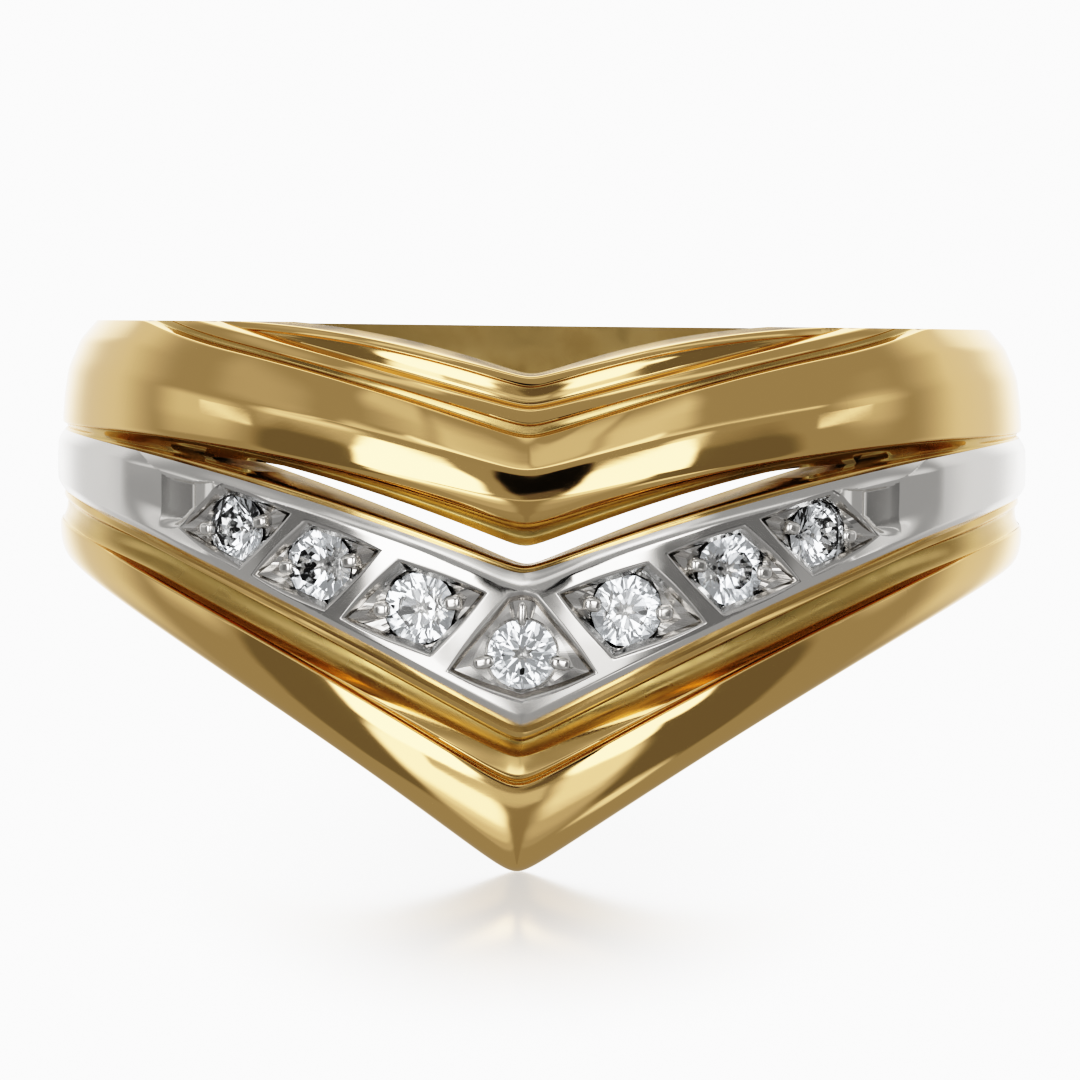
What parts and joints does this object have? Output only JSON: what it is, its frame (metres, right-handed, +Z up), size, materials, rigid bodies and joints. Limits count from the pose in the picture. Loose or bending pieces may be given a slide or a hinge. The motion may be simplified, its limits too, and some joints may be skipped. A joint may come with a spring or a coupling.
{
  "type": "gold ring",
  "caption": "V-shaped wishbone finger ring in yellow gold, with a white gold channel of round brilliants let in along the V.",
  "frame": {"origin": "on the floor, under the middle of the ring's box, as the ring lies on its side", "axes": "+Z up off the floor; the V's mitre points along -Y and leans down to the floor; +X to the wearer's side on the right as the stones are seen"},
  "size_m": [0.021, 0.0226, 0.0097],
  "materials": {
    "yellow_gold": "polished",
    "white_gold": "polished",
    "stone": "faceted and polished"
  },
  "bodies": {
    "root": {"band": "yellow_gold", "channel": "white_gold", "stone_1": "stone", "stone_2": "stone", "stone_3": "stone", "stone_4": "stone", "stone_5": "stone", "stone_6": "stone", "stone_7": "stone"}
  },
  "joints": []
}
